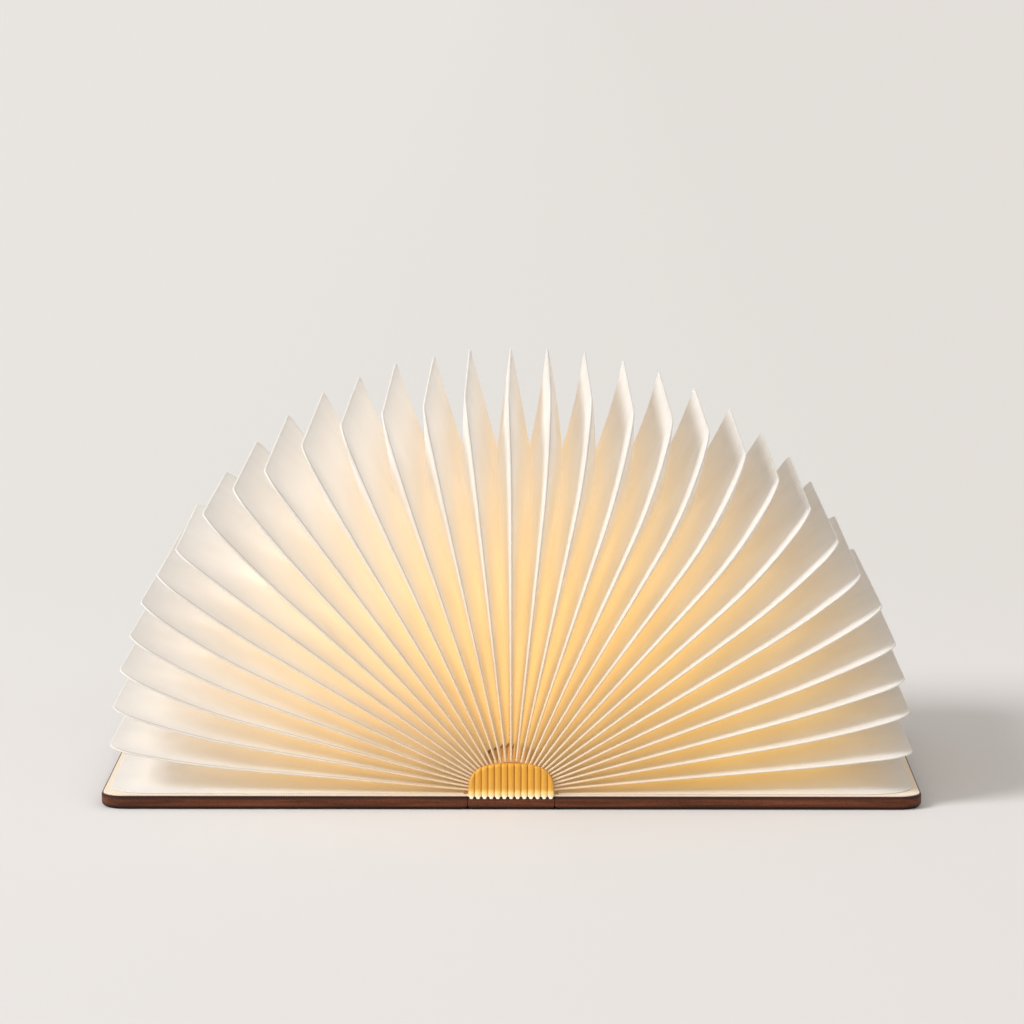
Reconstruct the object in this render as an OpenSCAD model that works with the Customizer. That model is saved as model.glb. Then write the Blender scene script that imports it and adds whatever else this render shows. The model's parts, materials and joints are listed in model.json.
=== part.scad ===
/* [Boards] */
// Length of each cover board, from the spine joint to its outer edge
cover_w = 121.8; // [116:0.2:130]
// Depth of the boards, from the front edge to the back edge
book_d = 158; // [152:1:170]
// Thickness of the walnut boards
cover_t = 4.5; // [4:0.1:6]
// Width of the spine board
spine_w = 28.7; // [28:0.1:32]
// Open joint between the spine board and each cover board
joint_gap = 0.2; // [0.1:0.05:0.4]
// Radius of the covers' outer corners
corner_r = 8; // [4:0.5:12]

/* [Lining] */
// Thickness of the cloth liner and of the hinge tape
liner_t = 0.3; // [0.2:0.05:0.4]
// Margin of bare wood that shows round the liner
liner_inset = 0.6; // [0.4:0.1:1.6]
// Width of hinge tape glued to the cover board
tape_on_cover = 6; // [4:0.5:10]
// Width of hinge tape glued to the spine board
tape_on_spine = 4; // [3:0.1:4.5]

/* [Leaves] */
// Thickness of a paper leaf
leaf_t = 0.3; // [0.2:0.02:0.34]
// Distance from the spine to the tips of the fan of leaves
leaf_reach = 136; // [128:1:138]
// How much further the leaves at half height reach
leaf_bulge = 3; // [0:0.5:5]
// How far the leaves stay inside the boards' front and back edges
leaf_margin = 2.5; // [1.5:0.25:5]
// Radius of the leaves' outer corners
leaf_corner_r = 9; // [6:1:24]
// Distance from the outer edge of a cover to the end leaf on it
end_leaf_margin = 2.5; // [1.5:0.25:5]
// Radius of the end leaves' outer corners
end_leaf_corner_r = 14; // [8:1:18]
// Spacing, in the closed book, of the end leaf and the leaf beside it
last_gap = 0.42; // [0.4:0.01:0.6]
// Distance of a leaf's inner edge from the lamp's dome
leaf_start_gap = 0.35; // [0.3:0.05:0.6]
// How many degrees the leaves at half height lean out past an even fan
fan_spread = 3; // [0:0.25:4]
// Distance of an end leaf's inner edge from the hinge line
end_leaf_start = 0.8; // [0.6:0.1:2]

/* [Folds] */
// Depth of the V-shaped folds between the leaves
fold_depth = 32; // [26:1:36]
// Thickness of the folded paper
fold_t = 0.25; // [0.2:0.01:0.28]
// Distance between a fold's edge and the face of its leaf
fold_gap = 0.3; // [0.25:0.01:0.35]
// Radius of the folds' inner corners
fold_corner_r = 3; // [2:0.5:5]

/* [Lamp] */
// Height of the dome over the spine
dome_h = 10.5; // [10:0.1:11.5]
// Gap between the dome and an end leaf, in the closed book
dome_side_gap = 0.15; // [0.1:0.05:0.3]
// Wall of the diffuser
diffuser_wall = 1.2; // [1:0.1:1.4]
// Thickness of the end caps, with their reeds
cap_t = 4; // [3.6:0.1:5]
// How far the end caps stay inside the boards' edges
cap_inset = 0.5; // [0.3:0.1:2]
// Width of the aluminium tray
tray_w = 17.2; // [16.6:0.1:17.4]
// Thickness of the tray's floor and walls
tray_t = 1; // [0.8:0.05:1.2]
// Height of the tray, with its floor
tray_h = 5; // [4.9:0.05:5.3]
// Gap between the tray and each end cap
tray_end_gap = 0.2; // [0.1:0.05:0.5]

/* [Electronics] */
// Thickness of the board with the lights
led_board_t = 1; // [0.6:0.1:1.2]
// Number of lights
led_count = 10; // [8:1:12]
// Distance between the lights
led_pitch = 13.5; // [8:0.5:14]
// Side of a light
led_side = 3.5; // [2.8:0.1:5]
// Height of a light
led_h = 0.8; // [0.6:0.1:1.2]
// Width of the battery
battery_w = 14; // [12:0.1:14.4]
// Room for the leads between the battery and the tray screws
lead_room = 12.2; // [4:0.2:24]
// Thickness of the battery
battery_t = 3.5; // [3:0.1:3.6]
// Length of the control board
board_l = 62; // [50:1:66]
// Width of the control board
board_w = 14; // [12:0.1:14.4]
// Thickness of the control board
board_t = 0.6; // [0.5:0.05:0.65]
// Radius of the battery's leads
lead_r = 0.5; // [0.4:0.05:0.7]
// Radius of the tray screws' shanks
screw_r = 1; // [0.8:0.05:1.25]
// Radius of the tray screws' heads
screw_head_r = 2; // [1.6:0.05:2.3]
// Height of the tray screws' heads
screw_head_h = 1.2; // [0.8:0.1:1.6]
// Depth of the tray screws in the spine board
screw_bite = 3.2; // [2.4:0.1:3.4]
// Clearance round the screws' shanks
screw_fit = 0.02; // [0.01:0.01:0.05]

/* [Magnets] */
// Radius of the covers' magnets
magnet_r = 4; // [3:0.25:5]
// Thickness of the magnets
magnet_t = 2; // [1.5:0.1:2.4]
// Distance of a magnet from the two outer edges of its cover
magnet_inset = 16; // [12:1:20]
// Radius of the magnet that works the switch
switch_magnet_r = 2.5; // [2:0.25:3]
// Clearance round the magnets
magnet_fit = 0.05; // [0.02:0.01:0.1]

/* [Hidden] */
$fn = 64;

// How far pieces that fuse run into each other, and how far a cut runs past a face
lap = 0.01;
past = 1;

// Real size of the standard charging port: its shell, its opening and its depth
port_w = 8.94;
port_h = 3.26;
port_wall = 0.3;
port_l = 7.35;
port_tongue_w = 6.7;
port_tongue_t = 0.7;
port_tongue_l = 5.2;
port_clear = 0.1;

// The fan: 16 equal steps from the centre leaf to each end leaf
steps = 16;
fan = 90;
reeds = 13;
reed_roundness = 0.6;

// Where the boards, hinges and lining are
hinge_x = spine_w / 2 + joint_gap;
liner_top = cover_t + liner_t;

// The closed book: each leaf's distance from the middle, in steps that shrink towards the covers
// from first_gap to last_gap, as the square of the steps that are left
end_leaf_x = hinge_x - liner_t - leaf_t / 2;
function squares(n) = n * (n + 1) * (2 * n + 1) / 6;
function shrunk(j) = (squares(steps - 1) - squares(steps - 1 - j)) / pow(steps - 1, 2);
first_gap = last_gap + (end_leaf_x - steps * last_gap) / shrunk(steps);
function closed_x(j) = j * last_gap + (first_gap - last_gap) * shrunk(j);
function fan_angle(j) = fan * j / steps + fan_spread * sin(180 * j / steps);

// The dome: a segment of a circle that clears the closed end leaves
dome_half_w = hinge_x - liner_t - leaf_t - dome_side_gap;
dome_r = (dome_half_w * dome_half_w + dome_h * dome_h) / (2 * dome_h);
dome_z = liner_top + dome_h - dome_r;
dome_front = book_d / 2 - cap_inset;
diffuser_l = 2 * (dome_front - cap_t);

// A leaf turns about its inner edge, which lies just off the dome, and reaches the fan's outline.
// The end leaf, which is leaf number steps, lies flat on its cover.
leaf_w = book_d - 2 * leaf_margin;
leaf_r = dome_r + leaf_start_gap;
function pivot(j) = j == steps
    ? [hinge_x + end_leaf_start, liner_top + leaf_t / 2]
    : [closed_x(j), dome_z + sqrt(leaf_r * leaf_r - pow(closed_x(j), 2))];
function leaf_l(j) = j == steps
    ? cover_w - end_leaf_start - end_leaf_margin
    : let (a = fan_angle(j),
           p = pivot(j) - [0, cover_t],
           along = p[0] * sin(a) + p[1] * cos(a))
      -along + sqrt(along * along - p * p + pow(leaf_reach + leaf_bulge * pow(sin(2 * a), 2), 2));

// The plane half way between leaf j and the next one out
function middle_angle(j) = (fan_angle(j) + fan_angle(j + 1)) / 2;
function middle_pivot(j) = (pivot(j) + pivot(j + 1)) / 2;
function half_step(j) = (fan_angle(j + 1) - fan_angle(j)) / 2;

// Half the space between the two leaves, at a distance along them
function half_gap(j, t) =
    let (a = middle_angle(j),
         across = pivot(j + 1) - pivot(j))
    (across[0] * cos(a) - across[1] * sin(a)) / 2 + t * tan(half_step(j));

// Where the fold between them starts: past the leaves' inner edges, and where both its walls have room
fold_off = leaf_t / 2 + fold_gap;
fold_room = 0.1;
fold_past_leaf = 1;
max_wall_depth = 10;
function fold_start(j) = max(
    fold_past_leaf,
    (fold_off + fold_t + fold_room - half_gap(j, 0)) / tan(half_step(j))
);

// A point of the fan on the right, from its plane's angle and pivot, its distance out from that
// plane, its distance along the leaf and its depth
function fan_point(a, p, out, t, y) = [
    p[0] + out * cos(a) + t * sin(a),
    y,
    p[1] - out * sin(a) + t * cos(a)
];

// The rim of a leaf, drawn in by inset: from the inner edge round both outer corners and back
corner_steps = 4;
function rim(start, end, inset, r) =
    let (w = leaf_w / 2 - inset,
         far = end - inset)
    concat(
        [[start, -w]],
        [for (k = [0 : corner_steps])
            let (c = 90 * k / corner_steps)
            [far - r + r * sin(c), -w + r - r * cos(c)]],
        [for (k = [corner_steps : -1 : 0])
            let (c = 90 * k / corner_steps)
            [far - r + r * sin(c), w - r + r * cos(c)]],
        [[start, w]]
    );

// Tongues of the end caps, which plug into the tray
tongue_x = 6.3;
tongue_w = 2.2;
tongue_h = 2.8;
tongue_l = 3;
tongue_clear = 0.2;

// Tray, boards and battery, stacked on the spine
tray_l = diffuser_l - 2 * tray_end_gap;
tray_floor = cover_t + tray_t;
tray_top = cover_t + tray_h;
tray_inside = tray_w - 2 * tray_t;
led_top = tray_top + led_board_t;
board_top = tray_floor + board_t;
board_back = diffuser_l / 2 - tray_end_gap;
board_front = board_back - board_l;
screw_gap = 0.4;
screw_rows = [
    -diffuser_l / 2 + tongue_l + screw_gap + screw_head_r,
    board_front - 2 * screw_gap - screw_head_r
];
screw_x = 4.6;
drive_depth = 0.6;
battery_front = screw_rows[0] + screw_head_r + screw_gap;
battery_back = screw_rows[1] - screw_head_r - lead_room;
port_z = board_top + port_h / 2;
port_back = dome_front;
pin_r = 0.3;
pin_pitch = 2.54;
pin_y = board_front + 3;
lead_x = 1.3;
lead_lift = 0.02;
lead_end = 1.2;

// The switch: a sensor at the side of the control board, and a magnet in the cover beside it
sensor_size = [3, 4, 1.5];
sensor_inset = 0.5;
sensor_y = pin_y + 8;

// The control board's chips: each one's place from the board's middle line and front, and its size
chips = [
    [[-3.5, 30], [5, 5, 1]],
    [[-2, 40], [6, 5, 1.2]]
];

// The same on the left side, mirrored
module on_side(side) {
    mirror([side < 0 ? 1 : 0, 0, 0]) children();
}

// A flat outline from x0 to x1, of depth d, with its two corners at x1 rounded
module tab_outline(x0, x1, d, r) {
    translate([x0, -d / 2]) square([x1 - x0 - r, d]);
    translate([x1 - r - lap, -d / 2 + r]) square([r + lap, d - 2 * r]);
    for (s = [-1, 1]) translate([x1 - r, s * (d / 2 - r)]) circle(r);
}

// Walnut boards
module spine_board() {
    color("#6f4a2f") difference() {
        translate([-spine_w / 2, -book_d / 2, 0]) cube([spine_w, book_d, cover_t]);
        for (y = screw_rows, s = [-1, 1])
            translate([s * screw_x, y, cover_t - screw_bite])
                cylinder(r = screw_r + screw_fit, h = cover_t);
    }
}

module magnet_places(z) {
    for (s = [-1, 1])
        translate([hinge_x + cover_w - magnet_inset, s * (book_d / 2 - magnet_inset), z]) children();
}

module switch_magnet_place(z) {
    translate([hinge_x + tape_on_cover / 2 + switch_magnet_r, sensor_y, z]) children();
}

module cover_board(side) {
    on_side(side) difference() {
        linear_extrude(cover_t) tab_outline(hinge_x, hinge_x + cover_w, book_d, corner_r);
        magnet_places(cover_t - magnet_t - magnet_fit)
            cylinder(r = magnet_r + magnet_fit, h = cover_t);
        if (side < 0) switch_magnet_place(cover_t - magnet_t - magnet_fit)
            cylinder(r = switch_magnet_r + magnet_fit, h = cover_t);
    }
}

module left_cover() {
    color("#6f4a2f") cover_board(-1);
}

module right_cover() {
    color("#6f4a2f") cover_board(1);
}

module magnets(side) {
    color("#c8c8cc") on_side(side)
        magnet_places(cover_t - magnet_t - magnet_fit) cylinder(r = magnet_r, h = magnet_t);
}

module switch_magnet() {
    color("#c8c8cc") on_side(-1)
        switch_magnet_place(cover_t - magnet_t - magnet_fit) cylinder(r = switch_magnet_r, h = magnet_t);
}

// Cream cloth on the inside of each cover, and the tape that hinges it to the spine
module liner(side) {
    color("#e9dcc0") on_side(side) translate([0, 0, cover_t]) linear_extrude(liner_t)
        tab_outline(hinge_x + tape_on_cover, hinge_x + cover_w - liner_inset,
                    book_d - 2 * liner_inset, corner_r - liner_inset);
}

module hinge_tape(side) {
    color("#e4d5b4") on_side(side)
        translate([spine_w / 2 - tape_on_spine, -book_d / 2 + liner_inset, cover_t])
            cube([tape_on_spine + joint_gap + tape_on_cover, book_d - 2 * liner_inset, liner_t]);
}

// The lamp on the spine: tray, lights, battery and control board
module light_tray() {
    color("#c4c6c9") difference() {
        translate([-tray_w / 2, -tray_l / 2, cover_t]) cube([tray_w, tray_l, tray_h]);
        translate([-tray_inside / 2, -tray_l / 2 - past, tray_floor])
            cube([tray_inside, tray_l + 2 * past, tray_h]);
        for (y = screw_rows, s = [-1, 1])
            translate([s * screw_x, y, 0]) cylinder(r = screw_r + screw_fit, h = tray_top);
    }
}

module tray_screws() {
    color("#9a9da0") for (y = screw_rows, s = [-1, 1]) translate([s * screw_x, y, 0]) {
        translate([0, 0, cover_t - screw_bite]) cylinder(r = screw_r, h = screw_bite + tray_t);
        translate([0, 0, tray_floor]) difference() {
            cylinder(r = screw_head_r, h = screw_head_h);
            translate([0, 0, screw_head_h - drive_depth])
                cylinder(r = screw_head_r / 2, h = drive_depth + past, $fn = 6);
        }
    }
}

module led_board() {
    color("#f2f2ee") translate([-tray_w / 2, -tray_l / 2, tray_top]) cube([tray_w, tray_l, led_board_t]);
}

module led_chips() {
    color("#ffd98a") for (k = [0 : led_count - 1])
        translate([0, (k - (led_count - 1) / 2) * led_pitch, led_top + led_h / 2])
            cube([led_side, led_side, led_h], center = true);
}

module led_pins() {
    color("#c9a24a") for (s = [-1, 1])
        translate([s * pin_pitch / 2, pin_y, board_top]) cylinder(r = pin_r, h = tray_top - board_top);
}

module battery() {
    color("#b9bcc2") translate([-battery_w / 2, battery_front, tray_floor])
        cube([battery_w, battery_back - battery_front, battery_t]);
}

module battery_leads() {
    color("#a33a30") for (s = [-1, 1])
        translate([s * lead_x, battery_back, board_top + lead_r + lead_lift])
            rotate([-90, 0, 0]) cylinder(r = lead_r, h = board_front + lead_end - battery_back);
}

module control_board() {
    color("#2f6b45") translate([-board_w / 2, board_front, tray_floor]) cube([board_w, board_l, board_t]);
    color("#303236") for (c = chips)
        translate([c[0][0], board_front + c[0][1], board_top]) cube(c[1]);
}

module hall_sensor() {
    color("#303236") translate([sensor_inset - board_w / 2, sensor_y - sensor_size[1] / 2, board_top])
        cube(sensor_size);
}

// The port's outline, grown or drawn in by e
module port_outline(e) {
    r = port_h / 2 + e;
    square([port_w - port_h, 2 * r], center = true);
    for (s = [-1, 1]) translate([s * (port_w - port_h) / 2, 0]) circle(r);
}

module port_along(e, y0, y1) {
    translate([0, y1, port_z]) rotate([90, 0, 0]) linear_extrude(y1 - y0) port_outline(e);
}

module usb_c_port() {
    color("#b7babd") {
        difference() {
            port_along(0, port_back - port_l, port_back);
            port_along(-port_wall, port_back - port_l + port_wall, port_back + past);
        }
        translate([-port_tongue_w / 2, port_back - port_l + port_wall, port_z - port_tongue_t / 2])
            cube([port_tongue_w, port_tongue_l, port_tongue_t]);
    }
}

// The dome's outline, from the lining up, drawn in by e
module dome_outline(e) {
    intersection() {
        translate([0, dome_z]) circle(dome_r - e, $fn = 128);
        translate([-dome_r, liner_top - (e > 0 ? past : 0)]) square([2 * dome_r, 2 * dome_r]);
    }
}

module diffuser() {
    color("#f3d9a4") translate([0, diffuser_l / 2, 0]) rotate([90, 0, 0]) difference() {
        linear_extrude(diffuser_l) dome_outline(0);
        translate([0, 0, -past]) linear_extrude(diffuser_l + 2 * past) dome_outline(diffuser_wall);
    }
}

// A reeded cap that faces the front
module reeded_cap() {
    pitch = 2 * dome_half_w / reeds;
    reed_r = reed_roundness * pitch;
    face = -dome_front + reed_r;
    back = -dome_front + cap_t;
    intersection() {
        translate([-dome_half_w, face, liner_top]) cube([2 * dome_half_w, back - face, dome_h]);
        dome_bar(back);
    }
    for (k = [0 : reeds - 1]) intersection() {
        translate([(k - (reeds - 1) / 2) * pitch, face, liner_top]) cylinder(r = reed_r, h = dome_h);
        dome_bar(back);
    }
    for (s = [-1, 1])
        translate([s * tongue_x - tongue_w / 2, back - lap, board_top + tongue_clear])
            cube([tongue_w, tongue_l, tongue_h]);
}

// The dome's solid, from the back of a cap to past its front
module dome_bar(back) {
    translate([0, back, 0]) rotate([90, 0, 0]) linear_extrude(cap_t + past) dome_outline(0);
}

module front_cap() {
    color("#d99a3a") reeded_cap();
}

module rear_cap() {
    color("#d99a3a") difference() {
        mirror([0, 1, 0]) reeded_cap();
        port_along(port_clear, 0, port_back + past);
    }
}

// A flat leaf of paper that stands on its inner edge
module leaf_sheet(l, w, r) {
    rotate([90, 0, 90]) linear_extrude(leaf_t) rotate(90) tab_outline(0, l, w, r);
}

module leaf(side, j) {
    color("#fdf6e4") on_side(side) translate([pivot(j)[0], 0, pivot(j)[1]]) rotate([0, fan_angle(j), 0])
        translate([-leaf_t / 2, 0, 0]) leaf_sheet(leaf_l(j), leaf_w, leaf_corner_r);
}

module leaf_centre() {
    leaf(1, 0);
}

module end_leaf(side) {
    color("#fdf6e4") on_side(side) translate([0, 0, liner_top]) linear_extrude(leaf_t)
        tab_outline(hinge_x + end_leaf_start, hinge_x + cover_w - end_leaf_margin,
                    leaf_w, end_leaf_corner_r);
}

// One V-shaped fold between leaf j and the next one out: a folded sheet that runs round
// the leaves' rims, with six points at each station of its path. The walls twist, so the last two
// faces of each station are split the other way, and both sides of a wall stay parallel.
module fold(j) {
    a = [fan_angle(j), fan_angle(j + 1)];
    pivots = [pivot(j), pivot(j + 1)];
    start = fold_start(j);
    rims = [for (k = [0, 1]) rim(start, leaf_l(j + k), 0, leaf_corner_r)];
    valley = rim(start, (leaf_l(j) + leaf_l(j + 1)) / 2, fold_depth, fold_corner_r);
    am = middle_angle(j);
    pm = middle_pivot(j);
    function wall_depth(t) = min(max_wall_depth, fold_t * fold_depth / half_gap(j, t));
    n = len(valley);
    points = [for (i = [0 : n - 1])
        let (p = rims[0][i], q = rims[1][i], v = valley[i], e = wall_depth(v[0]),
             vi = [v[0] - (i > 0 && i < n - 1 ? e : 0), v[1] - sign(v[1]) * e])
        each [
            fan_point(a[0], pivots[0], fold_off, p[0], p[1]),
            fan_point(a[0], pivots[0], fold_off + fold_t, p[0], p[1]),
            fan_point(am, pm, 0, v[0], v[1]),
            fan_point(a[1], pivots[1], -fold_off - fold_t, q[0], q[1]),
            fan_point(a[1], pivots[1], -fold_off, q[0], q[1]),
            fan_point(am, pm, 0, vi[0], vi[1])
        ]];
    walls = [for (i = [0 : n - 2], k = [0 : 5])
        let (m = (k + 1) % 6, b = 6 * i)
        each k < 4
            ? [[b + k, b + 6 + m, b + m], [b + k, b + 6 + k, b + 6 + m]]
            : [[b + k, b + 6 + k, b + m], [b + m, b + 6 + k, b + 6 + m]]];
    z = 6 * (n - 1);
    first = [[0, 1, 2], [0, 2, 5], [5, 2, 4], [4, 2, 3]];
    ends = concat(first, [for (f = first) [z + f[0], z + f[2], z + f[1]]]);
    polyhedron(points, concat(walls, ends));
}

module folds(side) {
    color("#f6e2b6") on_side(side) for (j = [0 : steps - 1]) fold(j);
}

spine_board();
left_cover();
right_cover();
liner(-1);  // left_liner
liner(1);  // right_liner
hinge_tape(-1);  // left_hinge_tape
hinge_tape(1);  // right_hinge_tape
magnets(-1);  // left_magnets
magnets(1);  // right_magnets
switch_magnet();
light_tray();
tray_screws();
led_board();
led_chips();
led_pins();
battery();
battery_leads();
control_board();
hall_sensor();
usb_c_port();
diffuser();
front_cap();
rear_cap();
end_leaf(-1);  // left_end_leaf
end_leaf(1);  // right_end_leaf
folds(-1);  // left_folds
folds(1);  // right_folds
leaf_centre();
for (j = [1 : steps - 1]) {
    name = str("leaf_left_", j < 10 ? "0" : "", j);
    leaf(-1, j);
}
for (j = [1 : steps - 1]) {
    name = str("leaf_right_", j < 10 ? "0" : "", j);
    leaf(1, j);
}
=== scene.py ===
import bpy
import bmesh
import json
import math
from mathutils import Matrix, Vector


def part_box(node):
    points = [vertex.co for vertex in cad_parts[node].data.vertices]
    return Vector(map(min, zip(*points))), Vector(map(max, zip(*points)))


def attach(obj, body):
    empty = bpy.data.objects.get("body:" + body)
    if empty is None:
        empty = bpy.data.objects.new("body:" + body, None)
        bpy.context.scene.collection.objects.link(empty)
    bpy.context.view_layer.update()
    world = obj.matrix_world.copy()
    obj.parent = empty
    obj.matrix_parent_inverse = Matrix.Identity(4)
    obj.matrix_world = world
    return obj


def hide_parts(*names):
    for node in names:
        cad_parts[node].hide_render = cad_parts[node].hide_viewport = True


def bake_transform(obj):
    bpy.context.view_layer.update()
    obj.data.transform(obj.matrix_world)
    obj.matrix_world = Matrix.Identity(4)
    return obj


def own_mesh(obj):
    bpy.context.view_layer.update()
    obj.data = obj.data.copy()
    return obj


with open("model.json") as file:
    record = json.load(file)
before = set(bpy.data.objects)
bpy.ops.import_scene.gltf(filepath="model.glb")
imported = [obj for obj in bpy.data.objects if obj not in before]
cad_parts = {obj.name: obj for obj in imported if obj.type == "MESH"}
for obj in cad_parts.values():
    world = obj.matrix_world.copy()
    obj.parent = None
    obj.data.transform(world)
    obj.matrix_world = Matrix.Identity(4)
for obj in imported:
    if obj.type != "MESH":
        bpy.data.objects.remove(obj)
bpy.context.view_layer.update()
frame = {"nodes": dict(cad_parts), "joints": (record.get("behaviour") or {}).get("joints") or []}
nodes = frame["nodes"]
joints = {joint["name"]: joint for joint in frame["joints"]}


# Camera
# It stands in front of the open book, a little above it and a touch to the right, and looks at
# it through a long lens.
CAMERA_PITCH = math.radians(7.4)
CAMERA_TURN = math.radians(0.39)
CAMERA_FOCAL_PX = 4880
CAMERA_RIGHT = 0.0003
CAMERA_SEES_TO = 100
IMAGE_PX = 1024
SENSOR_MM = 36
BASE_DISTANCE = 1.6165
BASE_BELOW_CENTRE_PX = 298

base_front = Vector((CAMERA_RIGHT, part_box("spine_board")[0].y, 0))
camera_turned = Matrix.Rotation(CAMERA_TURN, 3, "Z")
forward = camera_turned @ Vector((0, math.cos(CAMERA_PITCH), -math.sin(CAMERA_PITCH)))
upward = camera_turned @ Vector((0, math.sin(CAMERA_PITCH), math.cos(CAMERA_PITCH)))
camera_data = bpy.data.cameras.new("camera")
camera_data.lens = CAMERA_FOCAL_PX / IMAGE_PX * SENSOR_MM
camera_data.sensor_width = SENSOR_MM
camera_data.clip_end = CAMERA_SEES_TO
camera = bpy.data.objects.new("camera", camera_data)
camera.location = (base_front - forward * BASE_DISTANCE
                   + upward * BASE_DISTANCE * BASE_BELOW_CENTRE_PX / CAMERA_FOCAL_PX)
camera.rotation_euler = (math.pi / 2 - CAMERA_PITCH, 0, CAMERA_TURN)
bpy.context.scene.collection.objects.link(camera)
bpy.context.scene.camera = camera


# Floor and light
# A seamless pale studio floor, with painted shade that makes it a little darker at the back and
# to the right, and a soft key light from the upper left and front, a weak broad one from low in
# front, and even light from all round.
# The floor's colours below are painted shade: darker towards the back and towards the right.
FLOOR_NEAR = (0.78, 0.767, 0.763)
FLOOR_FAR = (0.753, 0.742, 0.727)
FLOOR_FADES_FROM = 0.1
FLOOR_FADES_OVER = 0.4
FLOOR_RIGHT_SHADE = (0.945, 0.94, 0.935)
FLOOR_DIMS_PER_M = 2.2
FLOOR_SIZE = 30
FLOOR_SQUARES = 4
FLOOR_ROUGHNESS = 0.9
FLOOR_SHINE = 0.1
BACKGROUND = (0.80, 0.775, 0.74, 1)
KEY_TOWARDS = Vector((-0.72, -0.36, 0.60))
KEY_STRENGTH = 2.25
KEY_SOFTNESS = math.radians(26)
FILL_TOWARDS = Vector((0.25, -0.90, 0.30))
FILL_STRENGTH = 0.7
FILL_SOFTNESS = math.radians(120)
AMBIENT = 0.55
AMBIENT_COLOUR = (1, 0.955, 0.90, 1)


def new_material(name):
    """A material, its node tree and its Principled shader."""
    material = bpy.data.materials.new(name)
    material.use_nodes = True
    return material, material.node_tree, material.node_tree.nodes["Principled BSDF"]


def feed(tree, value, socket):
    """Give a socket a number or a colour, or link an output to it."""
    if isinstance(value, bpy.types.NodeSocket):
        tree.links.new(value, socket)
    else:
        socket.default_value = value


def ramp(tree, value, *stops):
    """A colour ramp over value, with its stops as (position, colour or grey)."""
    node = tree.nodes.new("ShaderNodeValToRGB")
    bar = node.color_ramp.elements
    while len(bar) < len(stops):
        bar.new(0.5)
    for mark, (position, colour) in zip(bar, stops):
        mark.position = position
        mark.color = (*colour, 1) if isinstance(colour, tuple) else (colour, colour, colour, 1)
    feed(tree, value, node.inputs[0])
    return node.outputs[0]


def maths(tree, kind, *values, clamp=False):
    """A Math node over values, each a number or an output."""
    node = tree.nodes.new("ShaderNodeMath")
    node.operation = kind
    node.use_clamp = clamp
    for value, socket in zip(values, node.inputs):
        feed(tree, value, socket)
    return node.outputs[0]


def mixed(tree, kind, first, second, factor=1):
    """A Mix node over two colours, each a colour or an output."""
    node = tree.nodes.new("ShaderNodeMix")
    node.data_type = "RGBA"
    node.blend_type = kind
    for value, socket in ((factor, "Factor"), (first, "A"), (second, "B")):
        feed(tree, value, node.inputs[socket])
    return node.outputs["Result"]


def mixed_shader(tree, factor, first, second, end):
    """Two shaders mixed, and linked to the node tree's end node."""
    node = tree.nodes.new("ShaderNodeMixShader")
    for value, socket in zip((factor, first.outputs[0], second.outputs[0]), node.inputs):
        feed(tree, value, socket)
    feed(tree, node.outputs[0], tree.nodes[end].inputs[0])


def coordinates(tree):
    """The object's own coordinates and normals."""
    return tree.nodes.new("ShaderNodeTexCoord").outputs


def split(tree, vector):
    """A vector's X, Y and Z."""
    node = tree.nodes.new("ShaderNodeSeparateXYZ")
    feed(tree, vector, node.inputs[0])
    return node.outputs


floor_paint, tree, shader = new_material("studio_floor")
place = split(tree, coordinates(tree)["Object"])
# Painted shade: the floor's colour darkens towards the back and towards the right.
back = maths(tree, "SUBTRACT", place["Y"], FLOOR_FADES_FROM)
back = maths(tree, "DIVIDE", back, FLOOR_FADES_OVER, clamp=True)
right = maths(tree, "MULTIPLY_ADD", place["X"], FLOOR_DIMS_PER_M, 0.5, clamp=True)
floor_colour = mixed(tree, "MULTIPLY", ramp(tree, back, (0, FLOOR_NEAR), (1, FLOOR_FAR)),
                     ramp(tree, right, (0, 1), (1, FLOOR_RIGHT_SHADE)))
feed(tree, floor_colour, shader.inputs["Base Color"])
shader.inputs["Roughness"].default_value = FLOOR_ROUGHNESS
shader.inputs["Specular IOR Level"].default_value = FLOOR_SHINE

mesh = bmesh.new()
bmesh.ops.create_grid(mesh, x_segments=FLOOR_SQUARES, y_segments=FLOOR_SQUARES, size=FLOOR_SIZE)
floor_mesh = bpy.data.meshes.new("studio_floor")
mesh.to_mesh(floor_mesh)
mesh.free()
floor_mesh.materials.append(floor_paint)
floor = bpy.data.objects.new("studio_floor", floor_mesh)
bpy.context.scene.collection.objects.link(floor)

for name, towards, strength, softness in (("key", KEY_TOWARDS, KEY_STRENGTH, KEY_SOFTNESS),
                                          ("fill", FILL_TOWARDS, FILL_STRENGTH, FILL_SOFTNESS)):
    light_data = bpy.data.lights.new(name, "SUN")
    light_data.energy = strength
    light_data.angle = softness
    light = bpy.data.objects.new(name, light_data)
    light.rotation_mode = "QUATERNION"
    light.rotation_quaternion = towards.to_track_quat("Z", "Y")
    bpy.context.scene.collection.objects.link(light)

world = bpy.data.worlds.new("studio")
bpy.context.scene.world = world
world.use_nodes = True
tree = world.node_tree
around = tree.nodes["Background"]
around.inputs["Color"].default_value = AMBIENT_COLOUR
around.inputs["Strength"].default_value = AMBIENT
seen = tree.nodes.new("ShaderNodeBackground")
seen.inputs["Color"].default_value = BACKGROUND
rays = tree.nodes.new("ShaderNodeLightPath").outputs
direct = maths(tree, "MAXIMUM", rays["Is Camera Ray"], rays["Is Glossy Ray"])
direct = maths(tree, "MAXIMUM", direct, rays["Is Transmission Ray"])
mixed_shader(tree, direct, around, seen, "World Output")
bpy.context.scene.view_settings.view_transform = "Standard"
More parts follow.
